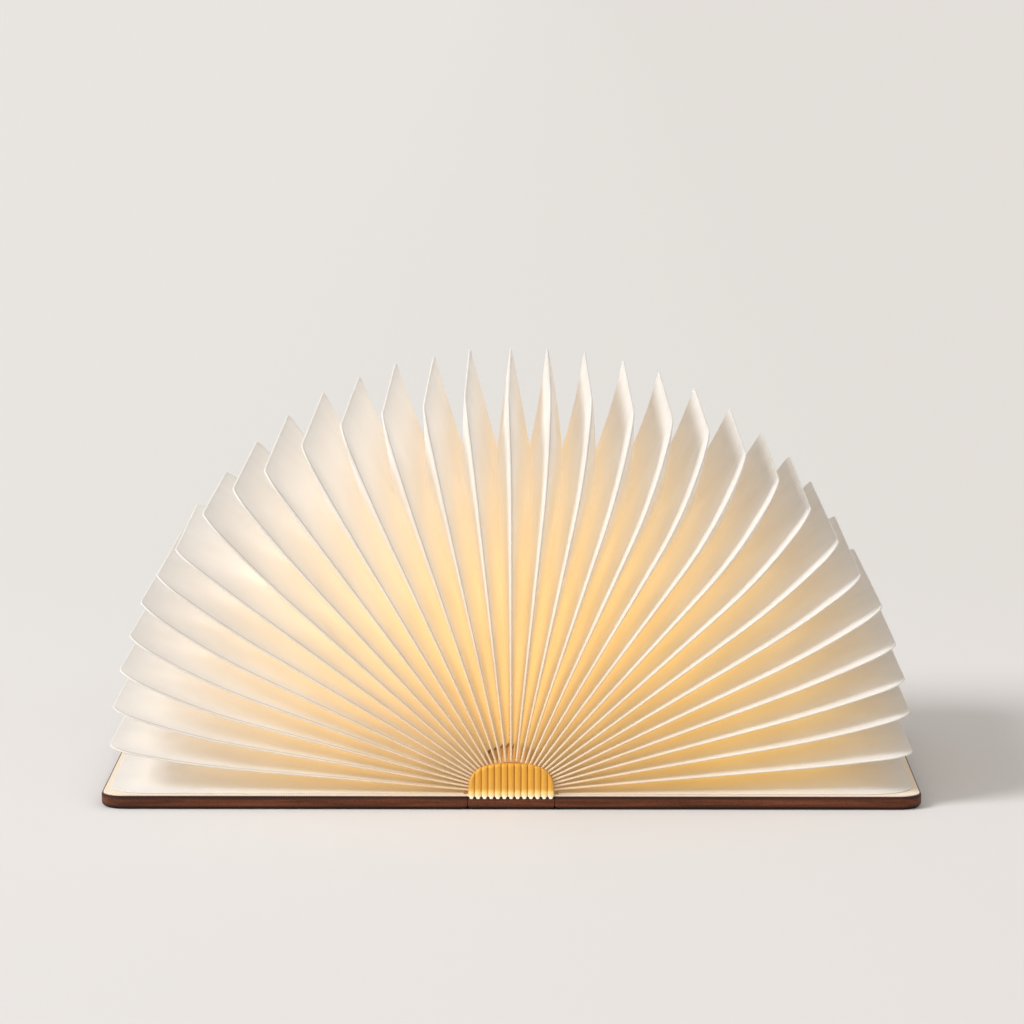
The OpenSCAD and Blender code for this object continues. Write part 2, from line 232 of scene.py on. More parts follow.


# Walnut boards
# The two covers and the spine board are solid walnut, sanded flat, oiled, and eased along every
# outer edge, more below than above. Painted shade makes their sawn edges darkest along both faces.
EASED_EDGE = 0.00035
EASED_SEGMENTS = 2
ROUNDED_UNDER = 0.0018
ROUNDED_SEGMENTS = 5
SHARP = math.radians(60)
BOARD_SMOOTH = math.radians(35)
CORNER_REACH = 0.0081
ON_FACE = 0.00001
SAME_POINT = 0.000001
FLAT_ENOUGH = math.radians(0.5)
GRAIN_STRETCH = (22, 260, 520)
PORE_SCALE = 2600
PORE_SHARE = 0.7
PORE_RELIEF = 0.35, 0.0002
WALNUT_SHINE = 0.25
GRAIN_TONES = ((0.25, (0.045, 0.012, 0.004)), (0.45, (0.105, 0.029, 0.010)),
               (0.60, (0.165, 0.049, 0.019)), (0.80, (0.25, 0.085, 0.036)))
PORE_TONES = ((0.36, (0.55, 0.5, 0.48)), (0.56, 1))
EDGE_SHADE_TONES = ((0.0, 0.05), (0.16, (0.10, 0.09, 0.09)), (0.30, (0.8, 0.75, 0.75)),
              (0.45, (0.92, 0.88, 0.84)), (0.74, (0.92, 0.88, 0.84)), (0.88, (0.28, 0.24, 0.22)))
FACE_FROM_EDGE = ((0.8, 0), (0.97, 1))
GRAIN_ROUGHNESS = ((0.3, 0.55), (0.8, 0.7))


def noise(tree, vector, **settings):
    """A Noise node over a vector, with its settings by their sockets' names."""
    node = tree.nodes.new("ShaderNodeTexNoise")
    for socket, value in settings.items():
        node.inputs[socket].default_value = value
    feed(tree, vector, node.inputs["Vector"])
    return node.outputs[0]


def mapped(tree, vector, setting, value):
    """A Mapping node over a vector, with one of its settings: how it scales or turns."""
    node = tree.nodes.new("ShaderNodeMapping")
    node.inputs[setting].default_value = value
    feed(tree, vector, node.inputs[0])
    return node.outputs[0]


def relief(tree, shader, height, strength, distance):
    """Fine relief on a shader, of some strength and depth."""
    node = tree.nodes.new("ShaderNodeBump")
    node.inputs["Strength"].default_value = strength
    node.inputs["Distance"].default_value = distance
    feed(tree, height, node.inputs["Height"])
    feed(tree, node.outputs[0], shader.inputs["Normal"])


def copy_of(node):
    """A merged copy of a CAD node's mesh, as a bmesh."""
    mesh = bmesh.new()
    mesh.from_mesh(nodes[node].data)
    bmesh.ops.remove_doubles(mesh, verts=mesh.verts, dist=SAME_POINT)
    bmesh.ops.dissolve_limit(mesh, angle_limit=FLAT_ENOUGH, verts=mesh.verts, edges=mesh.edges)
    return mesh


def eased(mesh, edges, offset, segments):
    """Round off those of the edges that are still there."""
    bmesh.ops.bevel(mesh, geom=[e for e in edges if e.is_valid], offset=offset,
                    segments=segments, profile=0.5, affect="EDGES", material=-1)


def finished(mesh, name, material, smooth=None):
    """The bmesh as an object in the scene, at the origin, smooth up to an angle if one is given."""
    data = bpy.data.meshes.new(name)
    mesh.to_mesh(data)
    mesh.free()
    data.materials.append(material)
    piece = bpy.data.objects.new(name, data)
    bpy.context.scene.collection.objects.link(piece)
    if smooth is not None:
        data.shade_smooth()
        data.set_sharp_from_angle(angle=smooth)
    return piece


walnut, tree, shader = new_material("oiled_walnut")
here = coordinates(tree)
grain = noise(tree, mapped(tree, here["Object"], "Scale", GRAIN_STRETCH),
              Scale=1, Detail=6, Roughness=0.62, Distortion=0.6)
pores = noise(tree, here["Object"], Scale=PORE_SCALE, Detail=3)
wood = mixed(tree, "MULTIPLY", ramp(tree, grain, *GRAIN_TONES), ramp(tree, pores, *PORE_TONES),
             PORE_SHARE)
# Painted shade on the boards' sawn edges, darkest at the bottom and dark along the top.
height = split(tree, here["Object"])["Z"]
height = maths(tree, "DIVIDE", height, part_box("spine_board")[1].z)
upright = maths(tree, "ABSOLUTE", split(tree, here["Normal"])["Z"])
edge_shade = mixed(tree, "MIX", ramp(tree, height, *EDGE_SHADE_TONES), (1, 1, 1, 1),
                ramp(tree, upright, *FACE_FROM_EDGE))
feed(tree, mixed(tree, "MULTIPLY", wood, edge_shade), shader.inputs["Base Color"])
feed(tree, ramp(tree, grain, *GRAIN_ROUGHNESS), shader.inputs["Roughness"])
shader.inputs["Specular IOR Level"].default_value = WALNUT_SHINE
relief(tree, shader, pores, *PORE_RELIEF)

for board, body in (("spine_board", "spine"), ("left_cover", "left_cover"),
                    ("right_cover", "right_cover")):
    mesh = copy_of(board)
    low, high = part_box(board)
    outer = [e for e in mesh.edges
             if len(e.link_faces) == 2 and e.calc_face_angle(0) > SHARP
             and all(min(v.co.x - low.x, high.x - v.co.x,
                         v.co.y - low.y, high.y - v.co.y) < CORNER_REACH
                     and (v.co.z < ON_FACE or v.co.z > high.z - ON_FACE) for v in e.verts)]
    under = [e for e in outer if all(v.co.z < ON_FACE for v in e.verts)]
    over = [e for e in outer if e not in under]
    eased(mesh, under, ROUNDED_UNDER, ROUNDED_SEGMENTS)
    eased(mesh, over, EASED_EDGE, EASED_SEGMENTS)
    piece = finished(mesh, board + "_walnut", walnut, smooth=BOARD_SMOOTH)
    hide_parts(board)
    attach(piece, body)


# Cloth lining and hinge tapes
# Cream book cloth is glued inside each cover, and a strip of the same cloth crosses each hinge
# and is glued to the spine board.
THREAD_SCALE = 380
THREAD_WAVER = 0.6
THREAD_DETAIL = 1
CLOTH_TONES = ((0, (0.82, 0.71, 0.58)), (0.5, (0.94, 0.84, 0.71)))
CLOTH_ROUGHNESS = 0.9
CLOTH_RELIEF = 0.3, 0.0001
TAPE_STRIPS = 24


def repainted(node, material):
    """Give a CAD node one material."""
    nodes[node].data.materials.clear()
    nodes[node].data.materials.append(material)


cloth, tree, shader = new_material("cream_cloth")
place = coordinates(tree)["Object"]
weave = []
for turn in (0, math.pi / 2):
    threads = tree.nodes.new("ShaderNodeTexWave")
    threads.inputs["Scale"].default_value = THREAD_SCALE
    threads.inputs["Distortion"].default_value = THREAD_WAVER
    threads.inputs["Detail"].default_value = THREAD_DETAIL
    feed(tree, mapped(tree, place, "Rotation", (0, 0, turn)), threads.inputs["Vector"])
    weave.append(threads.outputs["Fac"])
both = maths(tree, "MULTIPLY", *weave)
feed(tree, ramp(tree, both, *CLOTH_TONES), shader.inputs["Base Color"])
shader.inputs["Roughness"].default_value = CLOTH_ROUGHNESS
relief(tree, shader, both, *CLOTH_RELIEF)

for side in ("left", "right"):
    repainted(side + "_liner", cloth)
    low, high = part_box(side + "_hinge_tape")
    mesh = bmesh.new()
    bmesh.ops.create_cube(mesh, size=1)
    bmesh.ops.transform(mesh, verts=mesh.verts, matrix=Matrix.Translation((low + high) / 2)
                        @ Matrix.Diagonal((*(high - low), 1)))
    for cut in range(1, TAPE_STRIPS):
        x = low.x + (high.x - low.x) * cut / TAPE_STRIPS
        bmesh.ops.bisect_plane(mesh, geom=mesh.verts[:] + mesh.edges[:] + mesh.faces[:],
                               plane_co=(x, 0, 0), plane_no=(1, 0, 0))
    tape = finished(mesh, side + "_hinge_cloth", cloth)
    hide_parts(side + "_hinge_tape")
    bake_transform(tape)


# Metal, battery and boards
# The parts under the diffuser: an aluminium tray screwed to the spine, a strip of lights, a
# pouch cell with two leads, and a control board with its port and magnet switch.
FINISH_SCALE = 900
FINISH_SPREAD = 0.08
FINISH_DARK_AT, FINISH_PALE_AT = 0.3, 0.7
FINISH_ROUGHNESS_SPREAD = 0.16
FINISHES = {
    "light_tray": ("brushed_aluminium", (0.56, 0.57, 0.59), 0.38, 1.0),
    "tray_screws": ("screw_steel", (0.42, 0.43, 0.45), 0.3, 1.0),
    "left_magnets": ("nickel_plate", (0.60, 0.60, 0.62), 0.24, 1.0),
    "right_magnets": ("nickel_plate_right", (0.60, 0.60, 0.62), 0.24, 1.0),
    "switch_magnet": ("nickel_plate_switch", (0.60, 0.60, 0.62), 0.24, 1.0),
    "led_board": ("white_mask", (0.85, 0.85, 0.82), 0.5, 0.0),
    "led_pins": ("gold_plate", (0.62, 0.42, 0.12), 0.3, 1.0),
    "battery": ("foil_pouch", (0.50, 0.51, 0.54), 0.35, 0.9),
    "battery_leads": ("red_insulation", (0.36, 0.05, 0.04), 0.5, 0.0),
    "control_board": ("green_mask", (0.03, 0.14, 0.06), 0.4, 0.0),
    "hall_sensor": ("moulded_black", (0.03, 0.03, 0.035), 0.5, 0.0),
    "usb_c_port": ("port_steel", (0.52, 0.53, 0.55), 0.28, 1.0),
}
PHOSPHOR_SCALE = 1200
PHOSPHOR_TONES = ((0.3, (1, 0.70, 0.28)), (0.7, (1, 0.82, 0.42)))
PHOSPHOR_LIGHT = (1, 0.72, 0.36, 1)
PHOSPHOR_STRENGTH = 4


def plain(name, colour, roughness, metallic):
    """A finish with fine variation of tone and gloss over its surface."""
    material, tree, shader = new_material(name)
    fine = noise(tree, coordinates(tree)["Object"], Scale=FINISH_SCALE, Detail=4)
    dark = tuple(c * (1 - FINISH_SPREAD) for c in colour)
    pale = tuple(c * (1 + FINISH_SPREAD) for c in colour)
    tones = ramp(tree, fine, (FINISH_DARK_AT, dark), (FINISH_PALE_AT, pale))
    feed(tree, tones, shader.inputs["Base Color"])
    rough = maths(tree, "MULTIPLY_ADD", fine, FINISH_ROUGHNESS_SPREAD,
                  roughness - FINISH_ROUGHNESS_SPREAD / 2)
    feed(tree, rough, shader.inputs["Roughness"])
    shader.inputs["Metallic"].default_value = metallic
    return material


for node, finish in FINISHES.items():
    repainted(node, plain(*finish))

phosphor, tree, shader = new_material("lit_phosphor")
fine = noise(tree, coordinates(tree)["Object"], Scale=PHOSPHOR_SCALE)
feed(tree, ramp(tree, fine, *PHOSPHOR_TONES), shader.inputs["Base Color"])
shader.inputs["Emission Color"].default_value = PHOSPHOR_LIGHT
shader.inputs["Emission Strength"].default_value = PHOSPHOR_STRENGTH
repainted("led_chips", phosphor)


# Diffuser and end caps
# A frosted tube of cream plastic covers the lights, and a reeded amber cap closes each end. The
# reeds run down to a pale scalloped lip that lies over the spine's top edge, and the cap's face
# has fuller shoulders than the dome behind it.
FROST_SCALE = 700
FROST_TONES = ((0.3, (0.90, 0.66, 0.36)), (0.7, (0.95, 0.74, 0.44)))
FROST_LIGHT = (1, 0.60, 0.22, 1)
FROST_STRENGTH = 0.25
FROST_ROUGHNESS = 0.6
REEDS = 13
REED_DEPTH = 0.0007
REED_STEPS = 10
LIP_DROP = 0.0011
LIP_NOTCH = 0.0003
LIP_OUT = 0.0006
LIP_TALL = 0.0006
PLATE = 0.0016
FACE_WIDER = 0.0009
FACE_INSIDE = 0.999
SHOULDER = 3
TOP_ROUND = 0.0012
CAP_ROWS = 28
DOME_SEGMENTS = 96
CAP_SMOOTH = math.radians(50)
AMBER_TONES = ((0, (0.97, 0.90, 0.76)), (0.06, (0.97, 0.84, 0.60)), (0.15, (0.90, 0.60, 0.20)),
               (0.30, (0.72, 0.36, 0.045)), (1, (0.70, 0.335, 0.03)))
GROOVE_SHADE_TONES = ((0.38, 1), (0.48, (0.78, 0.68, 0.55)))
AMBER_LIGHT = 0.06
AMBER_ROUGHNESS = 0.45

frosted, tree, shader = new_material("frosted_diffuser")
fine = noise(tree, coordinates(tree)["Object"], Scale=FROST_SCALE)
feed(tree, ramp(tree, fine, *FROST_TONES), shader.inputs["Base Color"])
shader.inputs["Roughness"].default_value = FROST_ROUGHNESS
shader.inputs["Emission Color"].default_value = FROST_LIGHT
shader.inputs["Emission Strength"].default_value = FROST_STRENGTH
repainted("diffuser", frosted)

cap_low, cap_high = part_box("front_cap")
reed_pitch = (cap_high.x - cap_low.x + FACE_WIDER) / REEDS
amber, tree, shader = new_material("amber_reeds")
place = split(tree, coordinates(tree)["Object"])
rise = maths(tree, "SUBTRACT", place["Z"], cap_low.z - LIP_DROP)
rise = maths(tree, "DIVIDE", rise, cap_high.z - cap_low.z + LIP_DROP, clamp=True)
across = maths(tree, "DIVIDE", place["X"], reed_pitch)
across = maths(tree, "FRACT", maths(tree, "ADD", across, 0.5))
across = maths(tree, "ABSOLUTE", maths(tree, "SUBTRACT", across, 0.5))
# The cap's own amber, with painted shade in the grooves between the reeds, which also dims its glow
# there.
amber_and_groove_shade = mixed(tree, "MULTIPLY", ramp(tree, rise, *AMBER_TONES), ramp(tree, across, *GROOVE_SHADE_TONES))
feed(tree, amber_and_groove_shade, shader.inputs["Base Color"])
feed(tree, amber_and_groove_shade, shader.inputs["Emission Color"])
shader.inputs["Emission Strength"].default_value = AMBER_LIGHT
shader.inputs["Roughness"].default_value = AMBER_ROUGHNESS
repainted("rear_cap", amber)

half_w = (cap_high.x - cap_low.x) / 2
face_half = half_w + FACE_WIDER / 2
dome_h = cap_high.z - cap_low.z
dome_r = (half_w ** 2 + dome_h ** 2) / (2 * dome_h)
dome_z = cap_high.z - dome_r
cap_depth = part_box("diffuser")[0].y - cap_low.y


def cap_point(x, v):
    """A point of the reeded face: x across, v from the lip at 0 to the top edge at 1."""
    reed = (x / reed_pitch + 0.5) % 1 - 0.5
    bulge = math.sqrt(max(0, 1 - (2 * reed) ** 2))
    top = cap_low.z + dome_h * (1 - abs(x / face_half) ** SHOULDER) ** (1 / SHOULDER)
    bottom = cap_low.z - LIP_NOTCH - (LIP_DROP - LIP_NOTCH) * bulge
    z = bottom + (top - bottom) * v
    near_top = min(1, max(0, top - z) / TOP_ROUND)
    round_top = math.sqrt(max(0, 1 - (1 - near_top) ** 2))
    lip = min(1, max(0, 2 - (z - cap_low.z) / LIP_TALL))
    return Vector((x, cap_low.y + REED_DEPTH * (2 - bulge - round_top) - LIP_OUT * lip, z))


mesh = bmesh.new()
bmesh.ops.create_grid(mesh, x_segments=REEDS * REED_STEPS, y_segments=CAP_ROWS, size=1)
for v in mesh.verts:
    v.co = cap_point(v.co.x * face_half * FACE_INSIDE, (v.co.y + 1) / 2)
mesh.normal_update()
if next(iter(mesh.faces)).normal.y > 0:
    bmesh.ops.reverse_faces(mesh, faces=mesh.faces)
open_edges = [e for e in mesh.edges if e.is_boundary]
wall = bmesh.ops.extrude_edge_only(mesh, edges=open_edges)["geom"]
for v in (g for g in wall if isinstance(g, bmesh.types.BMVert)):
    v.co.y = cap_low.y + PLATE
    v.co.z = max(v.co.z, cap_low.z)
bmesh.ops.contextual_create(mesh, geom=[e for e in mesh.edges if e.is_boundary])

dome = bmesh.ops.create_circle(mesh, cap_ends=True, radius=dome_r, segments=DOME_SEGMENTS)["verts"]
bmesh.ops.transform(mesh, verts=dome, matrix=Matrix.Translation((0, cap_low.y + PLATE, dome_z))
                    @ Matrix.Rotation(math.pi / 2, 4, "X"))
disc = list({f for v in dome for f in v.link_faces})
rim = list({e for f in disc for e in f.edges})
cut = bmesh.ops.bisect_plane(mesh, geom=dome + rim + disc, plane_co=(0, 0, cap_low.z),
                             plane_no=(0, 0, -1), clear_outer=True)
disc = [g for g in cut["geom"] if isinstance(g, bmesh.types.BMFace)]
grown = bmesh.ops.extrude_face_region(mesh, geom=disc, use_keep_orig=True)["geom"]
bmesh.ops.translate(mesh, vec=(0, cap_depth - PLATE, 0),
                    verts=[g for g in grown if isinstance(g, bmesh.types.BMVert)])
bmesh.ops.recalc_face_normals(mesh, faces=mesh.faces)
front_cap = finished(mesh, "front_cap_reeds", amber, smooth=CAP_SMOOTH)
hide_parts("front_cap")
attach(front_cap, "spine")


# Pages of the shade
# Each page is one sheet of translucent paper, creased round its rim and bent back on both sides
# into a V, where it is glued to the next page. The two end pages are glued to the covers.
PAGES = 15
PAPER = 0.00014
FOLD_DEPTH = 0.032
PAGE_CORNER = 0.009
END_CORNER = 0.014
VALLEY_CORNER = 0.003
PAGE_START = 0.0003
RIM_NEAR = 0.00036
RIM_FAR = 0.00038
RIM_GROWS = 0.115
END_RIM = 0.55
END_TOP = 0.00015
END_TUCK = 0.002
WALL_BOW = 1.5
EDGE_STEPS, ARC_STEPS, LEG_STEPS = 5, 9, 22
RIM_STEPS, WALL_STEPS, TUCK_STEPS = 4, 11, 2
PAPER_SMOOTH = math.radians(60)
CLOSED_END_GAP = 0.00042

# How far each page of a side strays from an even fan, in mm: what its outer edge stands out by, at
# the front and at the back, and how far its outer corners curl up towards the middle. Read off the
# photograph, apart from the corners that it hides, which are estimates, and the middle page's
# lean, which would be about 2 but then cuts the first left page when the left cover closes
MM_PER_M = 1000
LONG_FRONT = {-1: (-3.1, -4.5, -3.8, -2.7, -3.2, -3.6, -1.8, -0.6,
                   -1.0, -0.3, 0.6, -0.2, -0.4, -0.8, -1.5),
              1: (-1.7, -1.8, -3.8, -2.2, -1.2, -1.7, -1.9, -1.8,
                  -1.6, -1.6, 0.1, -0.3, -0.6, -1.1, -1.9)}
LONG_BACK = {-1: (-0.5, -1.0, -0.7, -1.2, -0.9, -1.3, -1.9, -1.7,
                  -0.4, -0.3, 0.6, -0.2, -0.4, -0.8, -1.5),
             1: (-0.6, -0.4, -0.7, -1.0, -1.5, -1.6, -1.7, -1.1,
                 -1.3, -1.2, -0.6, -0.3, -0.6, -1.1, -1.9)}
CURL_FRONT = {-1: (-0.4, 0.4, 1.1, 1.3, 1.0, -0.1, 1.7, 2.2,
                   0.4, 2.6, 4.8, 5.2, 5.3, 4.2, 3.0),
              1: (2.4, 3.7, 3.8, 5.2, 6.6, 6.5, 6.5, 5.7,
                  4.2, 3.5, 3.4, 2.3, 2.1, 2.9, 1.1)}
CURL_BACK = {-1: (-0.7, 1.4, 2.2, 2.9, 3.3, 2.2, 1.0, -1.4,
                  -4.1, -2.5, -1.0, 1.0, 2.0, 2.5, 2.5),
             1: (3.4, 5.1, 5.8, 7.0, 7.3, 6.7, 5.9, 6.3,
                 7.7, 5.1, 3.8, 3.0, 2.4, 2.6, 1.1)}
CENTRE_LONG = -4.8, -0.8
CENTRE_LEAN = 1.2
CURL_FROM = 0.045

# The paper's colours run over reach, from the lamp's axis at 0 to the pages' tips at 1, over
# inset, from a page's rim at 0 to the valley at 1, or over the fan's width from left to right.
# Lee is 1 on the side of a page that is turned away from the key light
FAN_REACH = 0.14
FAN_WIDTH = 0.28
# The paper's base colour has the lamp's warm light painted into it, warmest near the lamp and
# whiter towards the tips.
PAPER_LAMP_WARMTH_TONES = ((0.0, (0.97, 0.90, 0.76)), (0.4, (0.95, 0.90, 0.81)), (0.85, (0.94, 0.925, 0.90)))
CLOUD_SCALE = 60
CLOUD_TONES = ((0.3, (0.96, 0.955, 0.95)), (0.7, 1))
FIBRE_SCALE = 900
FIBRE_RELIEF = 0.12, 0.0001
PAPER_ROUGHNESS = 0.85
PAPER_SHINE = 0.2
PAPER_LETS_THROUGH = 0.3
# Painted shade: a darker, browner line just beside the crest on each rim's lee side, which also
# dims the paper's glow there.
LEE_SHADE = (0.80, 0.70, 0.60, 1)
LEE_OVER = ((0.01, 1), (0.035, 0))
LEE_DIMS = -0.6
# Painted lamp light: the crests of the rims near the lamp are tinted warmer.
RIDGE_LAMP_WARMTH = (1, 0.87, 0.72, 1)
RIDGE_OVER = ((0.012, 1), (0.03, 0))
RIDGE_NEAR_LAMP = ((0.2, 1), (0.55, 0))

# The lamp's light inside the paper is warm and strongest a little way out, and more orange on
# the right. The daylight that comes through from the left is cooler, and weaker low down
LAMP_LIGHT = ((0.0, 0.16), (0.1, 0.18), (0.25, 0.23), (0.5, 0.22), (0.72, 0.18), (0.9, 0.12),
              (1.0, 0.06))
LAMP_IN_FOLD = ((0.02, 0.15), (0.25, 0.6), (0.8, 1))
LAMP_LEFT = ((0.0, (1, 0.66, 0.30)), (0.5, (1, 0.73, 0.42)), (1, (1, 0.84, 0.70)))
LAMP_RIGHT = ((0.0, (1, 0.60, 0.11)), (0.5, (1, 0.59, 0.06)), (1, (1, 0.66, 0.28)))
DAY_COLOUR = (0.96, 0.97, 1)
DAY_ACROSS = ((0.0, 0.06), (0.35, 0.075), (0.5, 0.05), (0.75, 0.03), (1.0, 0.01))
DAY_IN_FOLD = ((0.01, 0.3), (0.05, 1))
DAY_IN_LEE = ((0.0, 0.45), (0.5, 0))
DAY_RISES_OVER = 0.08
DAY_RISE = ((0.1, 0.25), (0.5, 0.75), (0.9, 1))

# Narrow slots painted in as brown shade with dark tops, in every second wall just above the front
# cap
SLOT_TOP = 0.143
SLOT_SLOPE = 0.03
SLOT_PITCH = math.radians(6.2)
SLOTS_HALF_WIDTH = 0.01
SLOT_SHADE_TONES = ((0.94, (0.80, 0.66, 0.52)), (0.955, (0.38, 0.26, 0.17)),
              (0.985, (0.38, 0.26, 0.17)), (1.0, 1))
SLOTS_END = ((0.82, 1), (0.90, 0))
SLOT_OFF_RIM = ((0.012, 0), (0.022, 1))
SLOT_ACROSS = ((0.12, 0), (0.20, 1), (0.42, 1), (0.50, 0))


def painted_on(tree, layer):
    """A value that the page's mesh carries at its points."""
    node = tree.nodes.new("ShaderNodeAttribute")
    node.attribute_name = layer
    return node.outputs["Fac"]


def product(tree, *values):
    """Values multiplied in turn."""
    total = values[0]
    for value in values[1:]:
        total = maths(tree, "MULTIPLY", total, value)
    return total


def vector_maths(tree, kind, first, second):
    """A Vector Math node over two colours, or over a colour and the number that scales it."""
    node = tree.nodes.new("ShaderNodeVectorMath")
    node.operation = kind
    feed(tree, first, node.inputs[0])
    feed(tree, second, node.inputs["Scale" if kind == "SCALE" else 1])
    return node.outputs[0]


paper, tree, shader = new_material("shade_paper")
here = coordinates(tree)["Object"]
place = split(tree, here)
reach = painted_on(tree, "reach")
inset = painted_on(tree, "inset")
lee = painted_on(tree, "lee")

slot_height = maths(tree, "MULTIPLY_ADD", inset, SLOT_SLOPE, reach)
slot_height = maths(tree, "DIVIDE", slot_height, SLOT_TOP)
from_middle = maths(tree, "ABSOLUTE", maths(tree, "DIVIDE", place["X"], SLOTS_HALF_WIDTH))
above_axis = maths(tree, "SUBTRACT", place["Z"], dome_z)
bearing = maths(tree, "ARCTAN2", place["X"], above_axis)
in_pitch = maths(tree, "FRACT", maths(tree, "DIVIDE", bearing, SLOT_PITCH))
slotted = product(tree, ramp(tree, from_middle, *SLOTS_END), ramp(tree, inset, *SLOT_OFF_RIM),
                  ramp(tree, in_pitch, *SLOT_ACROSS))
# Painted shade of the slots, which darkens both the paper's colour and its glow.
slot_shade = mixed(tree, "MIX", (1, 1, 1, 1), ramp(tree, slot_height, *SLOT_SHADE_TONES), slotted)

# Painted shade beside the crest on each rim's lee side.
in_lee = product(tree, lee, ramp(tree, inset, *LEE_OVER))
# Painted lamp light that warms the crests near the lamp.
on_ridge = product(tree, ramp(tree, inset, *RIDGE_OVER), ramp(tree, reach, *RIDGE_NEAR_LAMP))
cloud = noise(tree, here, Scale=CLOUD_SCALE, Detail=3)
# Painted lamp light: the paper's base colour is warmer near the lamp.
face = mixed(tree, "MULTIPLY", ramp(tree, reach, *PAPER_LAMP_WARMTH_TONES), ramp(tree, cloud, *CLOUD_TONES))
face = vector_maths(tree, "MULTIPLY", face, mixed(tree, "MIX", (1, 1, 1, 1), LEE_SHADE, in_lee))
face = vector_maths(tree, "MULTIPLY", face, mixed(tree, "MIX", (1, 1, 1, 1), RIDGE_LAMP_WARMTH, on_ridge))
face = vector_maths(tree, "MULTIPLY", face, slot_shade)
feed(tree, face, shader.inputs["Base Color"])
shader.inputs["Roughness"].default_value = PAPER_ROUGHNESS
shader.inputs["Specular IOR Level"].default_value = PAPER_SHINE
relief(tree, shader, noise(tree, here, Scale=FIBRE_SCALE, Detail=5), *FIBRE_RELIEF)

across = maths(tree, "MULTIPLY_ADD", place["X"], 1 / FAN_WIDTH, 0.5, clamp=True)
lamp = product(tree, ramp(tree, reach, *LAMP_LIGHT), ramp(tree, inset, *LAMP_IN_FOLD))
lamp_colour = mixed(tree, "MIX", ramp(tree, reach, *LAMP_LEFT), ramp(tree, reach, *LAMP_RIGHT),
                    across)
raised = maths(tree, "DIVIDE", place["Z"], DAY_RISES_OVER, clamp=True)
sheltered = product(tree, ramp(tree, inset, *DAY_IN_LEE), lee)
day = product(tree, ramp(tree, across, *DAY_ACROSS), ramp(tree, inset, *DAY_IN_FOLD),
              ramp(tree, raised, *DAY_RISE), maths(tree, "SUBTRACT", 1, sheltered))
light = vector_maths(tree, "ADD", vector_maths(tree, "SCALE", lamp_colour, lamp),
                     vector_maths(tree, "SCALE", DAY_COLOUR, day))
open_side = maths(tree, "MULTIPLY_ADD", in_lee, LEE_DIMS, 1)
light = vector_maths(tree, "MULTIPLY", vector_maths(tree, "SCALE", light, open_side), slot_shade)
feed(tree, light, shader.inputs["Emission Color"])
shader.inputs["Emission Strength"].default_value = 1
through = tree.nodes.new("ShaderNodeBsdfTranslucent")
feed(tree, face, through.inputs["Color"])
mixed_shader(tree, PAPER_LETS_THROUGH, shader, through, "Material Output")


class Leaf:
    """A CAD leaf's hinge, angle, length and corner, with its side as the sign of x, and how its
    page strays from an even fan."""
    def __init__(self, node, side, joint=None, end=False, number=None):
        data = nodes[node].data
        low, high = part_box(node)
        self.side = side
        self.end = end
        self.half_depth = high.y
        self.corner = END_CORNER if end else PAGE_CORNER
        if joint:
            self.hinge = Vector((abs(joint["pos_m"][0]), joint["pos_m"][2]))
            self.angle = math.radians(joint["range_deg"][1])
        elif end:
            self.hinge = Vector((min(abs(low.x), abs(high.x)), (low.z + high.z) / 2))
            self.angle = math.pi / 2
        else:
            self.hinge = Vector((0, low.z))
            self.angle = 0.0
        along = Vector((math.sin(self.angle), math.cos(self.angle)))
        self.length = max((Vector((abs(v.co.x) if end or joint else 0, v.co.z)) - self.hinge)
                          .dot(along) for v in data.vertices)
        if number:
            front, back = LONG_FRONT[side][number - 1], LONG_BACK[side][number - 1]
            curls = CURL_FRONT[side][number - 1], CURL_BACK[side][number - 1]
        else:
            front, back = (0, 0) if end else CENTRE_LONG
            curls = (0, 0) if end else (side * CENTRE_LEAN,) * 2
        self.curls = tuple(mm / MM_PER_M for mm in curls)
        self.length += back / MM_PER_M
        self.short = (back - front) / MM_PER_M


def even_outline(f, inset, length, half_depth, corner):
    """A point of an even page's outline drawn in by inset, as (out from the hinge, depth): f is 0
    in the middle of the outer edge, and 1 or -1 at the hinge."""
    share = inset / FOLD_DEPTH
    r = corner + (VALLEY_CORNER - corner) * share
    half, far = half_depth - inset, length - inset
    sign = 1 if f > 0 else -1
    step = abs(f) * (EDGE_STEPS + ARC_STEPS + LEG_STEPS)
    if step <= EDGE_STEPS:
        return far, sign * (half - r) * step / EDGE_STEPS
    if step <= EDGE_STEPS + ARC_STEPS:
        turn = math.pi / 2 * (step - EDGE_STEPS) / ARC_STEPS
        return far - r + r * math.cos(turn), sign * (half - r + r * math.sin(turn))
    along = (step - EDGE_STEPS - ARC_STEPS) / LEG_STEPS
    return far - r + (PAGE_START - far + r) * along, sign * half


def outline(f, inset, leaf, near=None):
    """The same for a leaf's page, which may be shorter in front. With near, it lies halfway to
    that leaf's page."""
    near = near or leaf
    t, depth = even_outline(f, inset, (leaf.length + near.length) / 2, leaf.half_depth, leaf.corner)
    short = (leaf.short + near.short) / 2 * (1 - depth / leaf.half_depth) / 2
    return t * (1 - short / leaf.length), depth


def curl(leaf, along, depth):
    """How far a point of a page is out of its own plane, away from the middle of the fan."""
    past = max(0, along - leaf.length + CURL_FROM) / CURL_FROM
    share = (depth / leaf.half_depth + 1) / 2
    return -(leaf.curls[0] * (1 - share) + leaf.curls[1] * share) * past ** 2


def plane_point(hinge, angle, side, out, along, depth):
    """A point given by a page's plane: out from it, along it from the hinge, and its depth."""
    return Vector((side * (hinge.x + out * math.cos(angle) + along * math.sin(angle)), depth,
                   hinge.y - out * math.sin(angle) + along * math.cos(angle)))


